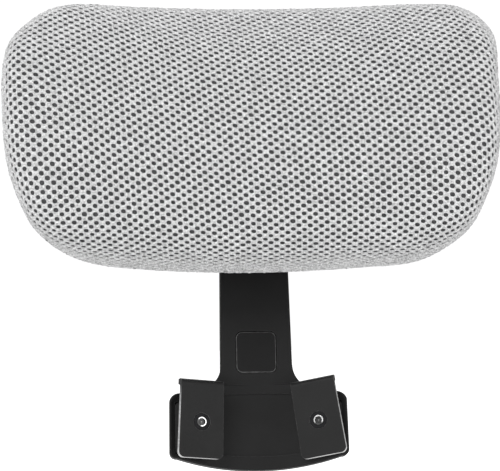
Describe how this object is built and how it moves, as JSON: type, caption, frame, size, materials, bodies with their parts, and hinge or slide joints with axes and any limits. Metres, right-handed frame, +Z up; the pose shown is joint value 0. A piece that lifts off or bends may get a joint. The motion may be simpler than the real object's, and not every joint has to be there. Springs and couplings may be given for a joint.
{
  "type": "chair headrest attachment",
  "caption": "Clamp-on chair headrest: mesh-covered cushion on a tilting hinge and sliding blade, curved base with screw-driven hooks for a chair back's top edge.",
  "frame": {"origin": "front of the base plate, midway between the two clamp bolts", "axes": "+X to the right seen from the front, -Y towards the sitter's head, +Z up; the neck and base lean back 12 degrees"},
  "size_m": [0.285, 0.1128, 0.2723],
  "materials": {
    "black_plastic": "fine moulded texture, satin",
    "black_steel": "black powder coat",
    "zinc": "bright zinc plate",
    "zinc_dark": "black zinc plate",
    "spring_steel": "bare spring steel",
    "white_nylon": "natural nylon",
    "black_rubber": "matt",
    "plywood": "bare ply",
    "grey_foam": "open-cell foam",
    "grey_mesh": "knitted air mesh with staggered holes"
  },
  "bodies": {
    "base": {"base_bracket": "black_plastic", "neck_rear_cover": "black_plastic", "rear_cover_screws": "zinc", "left_base_pad": "black_rubber", "right_base_pad": "black_rubber", "lock_spring": "spring_steel"},
    "button": {"lock_button": "black_plastic", "lock_pin": "zinc"},
    "lift": {"lift_blade": "black_steel", "hinge_bushes": "white_nylon"},
    "headrest": {"hinge_bracket": "black_steel", "hinge_bolt": "zinc", "hinge_friction_washers": "white_nylon", "hinge_disc_springs": "spring_steel", "hinge_bolt_washer": "zinc", "hinge_lock_nut": "zinc", "back_shell": "black_plastic", "inner_board": "plywood", "t_nuts": "zinc", "bracket_screws": "zinc", "shell_screws": "zinc", "foam_core": "grey_foam", "mesh_cover": "grey_mesh"},
    "left_bolt": {"left_clamp_bolt": "zinc", "left_bolt_washer": "zinc"},
    "left_insert": {"left_hook_insert": "zinc_dark"},
    "left_hook": {"left_hook_plate": "black_steel", "left_hook_pad": "black_rubber"},
    "right_bolt": {"right_clamp_bolt": "zinc", "right_bolt_washer": "zinc"},
    "right_insert": {"right_hook_insert": "zinc_dark"},
    "right_hook": {"right_hook_plate": "black_steel", "right_hook_pad": "black_rubber"}
  },
  "joints": [
    {"name": "height_slide", "type": "slide", "parent": "base", "child": "lift", "axis": [0, 0.2079, 0.9781], "range_m": [0, 0.048]},
    {"name": "headrest_tilt", "type": "hinge", "parent": "lift", "child": "headrest", "pos_m": [0, 0.03624, 0.15076], "axis": [1, 0, 0], "range_deg": [-30, 12]},
    {"name": "button_press", "type": "slide", "parent": "base", "child": "button", "axis": [0, 0.9781, -0.2079], "range_m": [0, 0.0035], "stiffness_N_per_m": 6000, "springref_m": -0.002, "deforming": ["lock_spring"]},
    {"name": "left_bolt_turn", "type": "hinge", "parent": "base", "child": "left_bolt", "pos_m": [-0.038, -0.00589, -0.00038], "axis": [0.2924, -0.9354, 0.1988], "range_deg": [-1262, 2162]},
    {"name": "left_insert_slide", "type": "slide", "parent": "base", "child": "left_insert", "axis": [0.2924, -0.9354, 0.1988], "range_m": [-0.0035, 0.006]},
    {"name": "left_hook_swing", "type": "hinge", "parent": "left_insert", "child": "left_hook", "pos_m": [-0.038, -0.00589, -0.00038], "axis": [-0.2924, 0.9354, -0.1988], "range_deg": [-14.45, 9.55]},
    {"name": "right_bolt_turn", "type": "hinge", "parent": "base", "child": "right_bolt", "pos_m": [0.038, -0.00589, -0.00038], "axis": [-0.2924, -0.9354, 0.1988], "range_deg": [-1262, 2162]},
    {"name": "right_insert_slide", "type": "slide", "parent": "base", "child": "right_insert", "axis": [-0.2924, -0.9354, 0.1988], "range_m": [-0.0035, 0.006]},
    {"name": "right_hook_swing", "type": "hinge", "parent": "right_insert", "child": "right_hook", "pos_m": [0.038, -0.00589, -0.00038], "axis": [0.2924, 0.9354, -0.1988], "range_deg": [-4.1, 19.9]}
  ],
  "couplings": [
    {"joint": "left_bolt_turn", "follows": "left_insert_slide", "rad_per_m": 6283.2},
    {"joint": "right_bolt_turn", "follows": "right_insert_slide", "rad_per_m": 6283.2}
  ]
}
